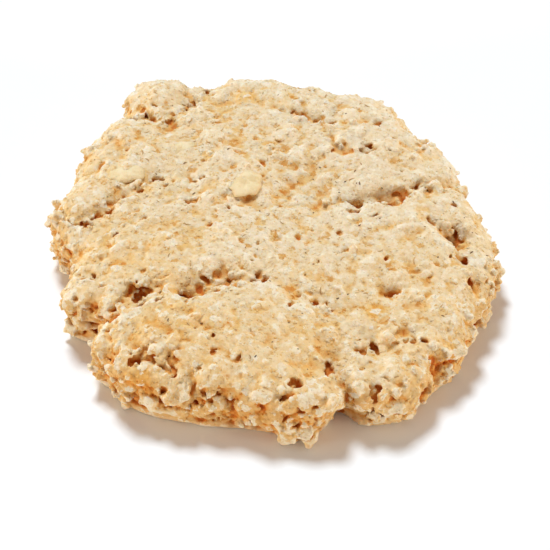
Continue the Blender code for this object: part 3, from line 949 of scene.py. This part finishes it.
# Tints, which multiply the colour under them.
GOLDEN_SPOT_TINT = (0.99, 0.82, 0.50)
GOLDEN_FLECK_TINT = (0.97, 0.86, 0.64)
BROWN_FLECK_TINT = (0.86, 0.64, 0.36)
# Painted shade in the hollows, partly their real browning: orange brown by how deep and narrow a hollow is.
HOLLOW_BAKING_AND_SHADE_TINTS = (
    (0.05, (1.0, 1.0, 1.0)),
    (0.28, (0.99, 0.87, 0.66)),
    (0.60, (0.95, 0.69, 0.38)),
    (1.0, (0.80, 0.41, 0.13)),
)
GRAIN_TINTS = ((0.3, (0.92, 0.89, 0.84)), (0.7, (1.0, 1.0, 1.0)))
SPECKLE_TINTS = ((0.0, (0.92, 0.85, 0.72)), (0.5, (0.98, 0.96, 0.91)), (1.0, (1.0, 1.0, 1.0)))
FLAKE_COLOURS = ((0.38, (0.72, 0.52, 0.26)), (0.5, (0.79, 0.62, 0.35)), (0.62, (0.83, 0.68, 0.42)))
FLAKE_RIM = (0.74, 0.55, 0.30)


def dough_tone(tree, place, tone_shift, patches, mottle):
    """How golden each point is. It grows to the left and front, on the wall, and away from the middle."""
    tone = math_node(tree, "MULTIPLY_ADD", attribute(tree, "tone"), 0.14, 0.46 + tone_shift)
    tone = math_node(tree, "MULTIPLY_ADD", patches, 0.45, tone)
    tone = math_node(tree, "MULTIPLY_ADD", mottle, 0.7, tone)
    # More golden on the wall: partly its toasting, partly painted warm bounce light.
    tone = math_node(tree, "MULTIPLY_ADD", attribute(tree, "wall"), 0.26, tone)
    axes = node(tree, "ShaderNodeSeparateXYZ", {"Vector": place}).outputs
    tone = math_node(tree, "MULTIPLY_ADD", axes["X"], -2.0, tone)
    tone = math_node(tree, "MULTIPLY_ADD", axes["Y"], -2.8, tone)
    level = vector_node(tree, "MULTIPLY", place, (1.0, 1.0, 0.0))
    away = length_node(tree, vector_node(tree, "SUBTRACT", level, (2 * MM, 6 * MM, 0.0)))
    outer = math_node(tree, "MULTIPLY_ADD", between(tree, away, 8 * MM, 30 * MM), 0.16, -0.15)
    return math_node(tree, "ADD", tone, outer)


def with_golden_spots(tree, colour, place, mottle):
    for x, y, z, radius in GOLDEN_SPOTS:
        apart = length_node(tree, vector_node(tree, "SUBTRACT", place, (x * MM, y * MM, z * MM)))
        apart = math_node(tree, "MULTIPLY_ADD", mottle, -4 * MM, apart)
        spot = between(tree, apart, radius * MM, 0.4 * radius * MM)
        colour = tinted(tree, colour, GOLDEN_SPOT_TINT, spot)
    return colour


def with_flecks(tree, colour, place, patches, baked_and_shade):
    """Golden flecks and smaller brown ones, more of them where the hollows have painted shade, and whitish
    spots that keep out of those hollows.
    """
    drawn, _ = cells(tree, place, 1.7, 0.0)
    rich = math_node(tree, "MULTIPLY_ADD", patches, 0.5, drawn)
    rich = math_node(tree, "MULTIPLY_ADD", baked_and_shade, 0.35, rich)
    colour = tinted(tree, colour, GOLDEN_FLECK_TINT, between(tree, rich, 0.78, 0.95))
    drawn, _ = cells(tree, place, 0.8, 0.3)
    rich = math_node(tree, "MULTIPLY_ADD", baked_and_shade, 0.4, drawn)
    colour = tinted(tree, colour, BROWN_FLECK_TINT, between(tree, rich, 0.90, 1.0))
    drawn, _ = cells(tree, place, 1.0, 0.6)
    white = math_node(tree, "MULTIPLY_ADD", baked_and_shade, -0.5, drawn)
    return mix_colour(tree, between(tree, white, 0.85, 1.05), colour, WHITISH)


def with_brown_foot(tree, colour, place):
    height = node(tree, "ShaderNodeSeparateXYZ", {"Vector": place}).outputs["Z"]
    foot = math_node(tree, "MULTIPLY", between(tree, height, 2.0 * MM, 0.6 * MM), 0.5)
    return mix_colour(tree, foot, colour, FOOT_COLOUR)


def with_baked_and_shaded_hollows(tree, colour, baked_and_shade, mottle):
    """Orange brown in the hollows, and more so on the wall: partly the crumb's baking and partly painted
    shade.
    """
    by_wall = math_node(tree, "MULTIPLY_ADD", attribute(tree, "wall"), 0.4, 1.0)
    hollow = math_node(tree, "MULTIPLY", baked_and_shade, by_wall)
    hollow = math_node(tree, "MULTIPLY_ADD", mottle, 0.25, hollow)
    return tinted(tree, colour, ramp(tree, hollow, HOLLOW_BAKING_AND_SHADE_TINTS))


def dough_colour(tree, place, tone_shift):
    # How dark the hollows are painted: partly baking, partly painted shade.
    baked_and_shade = attribute(tree, "baked_and_shade")
    patches = math_node(tree, "SUBTRACT", noise_node(tree, place, 9.0, detail=2.0), 0.5)
    mottle = math_node(tree, "SUBTRACT", noise_node(tree, place, 1.4, detail=4.0, roughness=0.65), 0.5)
    colour = ramp(tree, dough_tone(tree, place, tone_shift, patches, mottle), TONE_COLOURS)
    colour = with_golden_spots(tree, colour, place, mottle)
    colour = with_flecks(tree, colour, place, patches, baked_and_shade)
    colour = with_brown_foot(tree, colour, place)
    return with_baked_and_shaded_hollows(tree, colour, baked_and_shade, mottle)


def dough_material(name, tone_shift, softness):
    """The crumb's material, more golden by the tone shift, and lit through by its softness."""
    material, tree, shader = new_material(name)
    place = node(tree, "ShaderNodeTexCoord").outputs["Object"]
    fine = noise_node(tree, place, 0.35, roughness=0.7)
    colour = tinted(tree, dough_colour(tree, place, tone_shift), ramp(tree, fine, GRAIN_TINTS))
    speck, _ = cells(tree, place, 0.45, 0.8)
    colour = tinted(tree, colour, ramp(tree, speck, SPECKLE_TINTS))
    tree.links.new(colour, shader.inputs["Base Color"])
    _, away = cells(tree, place, 0.5, 0.0)
    set_bump(tree, shader, math_node(tree, "MULTIPLY_ADD", away, -0.8, fine), strength=0.4)
    set_roughness(tree, shader, fine, low=0.65, high=0.95)
    shader.inputs["Specular IOR Level"].default_value = 0.3
    soft_inside(shader, weight=softness, depth_mm=0.35)
    return material


def flake_material():
    material, tree, shader = new_material("oat_flake")
    place = node(tree, "ShaderNodeTexCoord").outputs["Object"]
    tone = noise_node(tree, place, 2.0, detail=4.0, roughness=0.6)
    ragged = math_node(tree, "MULTIPLY_ADD", tone, 0.6, attribute(tree, "rim"))
    colour = mix_colour(tree, between(tree, ragged, 0.95, 1.35), ramp(tree, tone, FLAKE_COLOURS), FLAKE_RIM)
    tree.links.new(colour, shader.inputs["Base Color"])
    streaks = noise_node(tree, place, 0.5)
    set_bump(tree, shader, streaks, strength=0.9)
    set_roughness(tree, shader, streaks, low=0.55, high=0.8)
    soft_inside(shader, weight=0.4, depth_mm=0.4)
    return material


def plain_material(name, dark, light):
    material, tree, shader = new_material(name)
    place = node(tree, "ShaderNodeTexCoord").outputs["Object"]
    colour = ramp(tree, noise_node(tree, place, 5.0, detail=2.0), ((0.35, dark), (0.65, light)))
    tree.links.new(colour, shader.inputs["Base Color"])
    shader.inputs["Roughness"].default_value = 0.7
    return material


def finish_piece(obj, material):
    """Turns a piece into metres, gives it its material, and lets it ride on the part."""
    obj.data.transform(Matrix.Scale(MM, 4))
    obj.data.materials.clear()
    obj.data.materials.append(material)
    obj.data.shade_smooth()
    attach(obj, "root")


def build_pieces():
    dough = Dough(cad.data)
    skin = dough.mesh("skin", dough.packed)
    tree = skin_tree(skin)
    bend_space(dough)
    carve_cracks(dough, tree)
    carve_small_pits(dough, skin)
    break_skin(dough)
    fill_cracks(dough, tree)
    add_chips(dough, skin)
    carve_pits(dough, tree)
    crumble_hollows(dough)
    add_bits(dough, tree)
    close_dough(dough)
    body = new_object("crumb", dough.mesh("crumb", dough.values))
    keep_largest(body.data)
    thin_out(body, CRUMB_TRIANGLES)
    mark_crumb(dough, body.data)
    flakes = oat_flakes(tree, dough.top)
    crumb, top = body.data, dough.top
    pale = scattered_grains("pale_grains", crumb, top, PALE_GRAINS, smallest=0.20, largest=0.46)
    golden = scattered_grains("golden_grains", crumb, top, GOLDEN_GRAINS, smallest=0.16, largest=0.38)
    bran = slivers("bran_specks", crumb, BRAN_SPECKS, lengths=(0.10, 0.12, 0.15, 0.18, 0.3), breadth=0.07)
    hulls = slivers("hull_slivers", crumb, HULL_SLIVERS, lengths=(0.25, 0.35, 0.45, 0.6), breadth=0.05)
    finish_piece(body, dough_material("oat_crumb", tone_shift=0.0, softness=0.5))
    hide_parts("biscuit")
    finish_piece(flakes, flake_material())
    finish_piece(pale, dough_material("pale_oat", tone_shift=0.0, softness=0.0))
    finish_piece(golden, dough_material("golden_oat", tone_shift=0.26, softness=0.0))
    finish_piece(bran, plain_material("bran", dark=(0.12, 0.065, 0.03), light=(0.34, 0.19, 0.08)))
    finish_piece(hulls, plain_material("oat_hull", dark=(0.44, 0.25, 0.09), light=(0.66, 0.43, 0.19)))


def add_sun(name, strength, colour, spread, elevation, bearing):
    """A sun whose spread, elevation and bearing are in degrees."""
    light = bpy.data.lights.new(name, "SUN")
    light.energy = strength
    light.color = colour
    light.angle = math.radians(spread)
    sun = bpy.data.objects.new(name, light)
    bpy.context.scene.collection.objects.link(sun)
    rise, turn = math.radians(elevation), math.radians(bearing)
    level = math.cos(rise)
    towards = Vector((math.cos(turn) * level, math.sin(turn) * level, math.sin(rise)))
    sun.rotation_euler = towards.to_track_quat("Z", "Y").to_euler()


def build_floor():
    half = 30.0  # metres, so that the table's edge is never seen
    corners = [(-half, -half, 0), (half, -half, 0), (half, half, 0), (-half, half, 0)]
    floor = new_object("floor", new_mesh("floor", corners, [(0, 1, 2, 3)]))
    material, _, shader = new_material("white_table")
    shader.inputs["Base Color"].default_value = (0.90, 0.90, 0.90, 1)
    shader.inputs["Roughness"].default_value = 0.9
    shader.inputs["Specular IOR Level"].default_value = 0.0
    floor.data.materials.append(material)


def build_lights():
    """A dim warm sky, a cool key light from above and behind, and two low warm lights from the front."""
    world = bpy.data.worlds.new("studio")
    bpy.context.scene.world = world
    world.use_nodes = True
    background = world.node_tree.nodes["Background"]
    background.inputs["Color"].default_value = (0.53, 0.46, 0.42, 1)
    background.inputs["Strength"].default_value = 0.74
    cool, warm = (0.79, 0.905, 1.0), (1.0, 0.88, 0.66)
    add_sun("key", 2.98, cool, spread=16, elevation=61, bearing=111)
    add_sun("fill_left", 1.9, warm, spread=18, elevation=3.5, bearing=207)
    add_sun("fill_right", 2.0, warm, spread=18, elevation=3.5, bearing=337)


def build_camera():
    """The photo's camera. It looks a little past the target, which lies off the middle of the photo."""
    photo_pixels, pixels_per_mm = 550, 6.8
    pixels_right, pixels_down = 2, 25  # from the target to the picture's middle
    elevation, distance, sensor = math.radians(44), 330.0, 36.0
    target = Vector((0.0, 0.5, 4.0))
    forward = Vector((0, math.cos(elevation), -math.sin(elevation)))
    up = Vector((0, math.sin(elevation), math.cos(elevation)))
    aim = target - up * (pixels_down / pixels_per_mm) + Vector((pixels_right / pixels_per_mm, 0, 0))
    place = target - forward * distance
    lens = bpy.data.cameras.new("camera")
    lens.sensor_width = sensor
    lens.lens = sensor * distance / (photo_pixels / pixels_per_mm)
    lens.clip_start = 0.01
    camera = bpy.data.objects.new("camera", lens)
    bpy.context.scene.collection.objects.link(camera)
    camera.location = place * MM
    camera.rotation_euler = (aim - place).to_track_quat("-Z", "Y").to_euler()
    bpy.context.scene.camera = camera


bpy.context.scene.view_settings.view_transform = "Standard"
build_pieces()
build_floor()
build_lights()
build_camera()
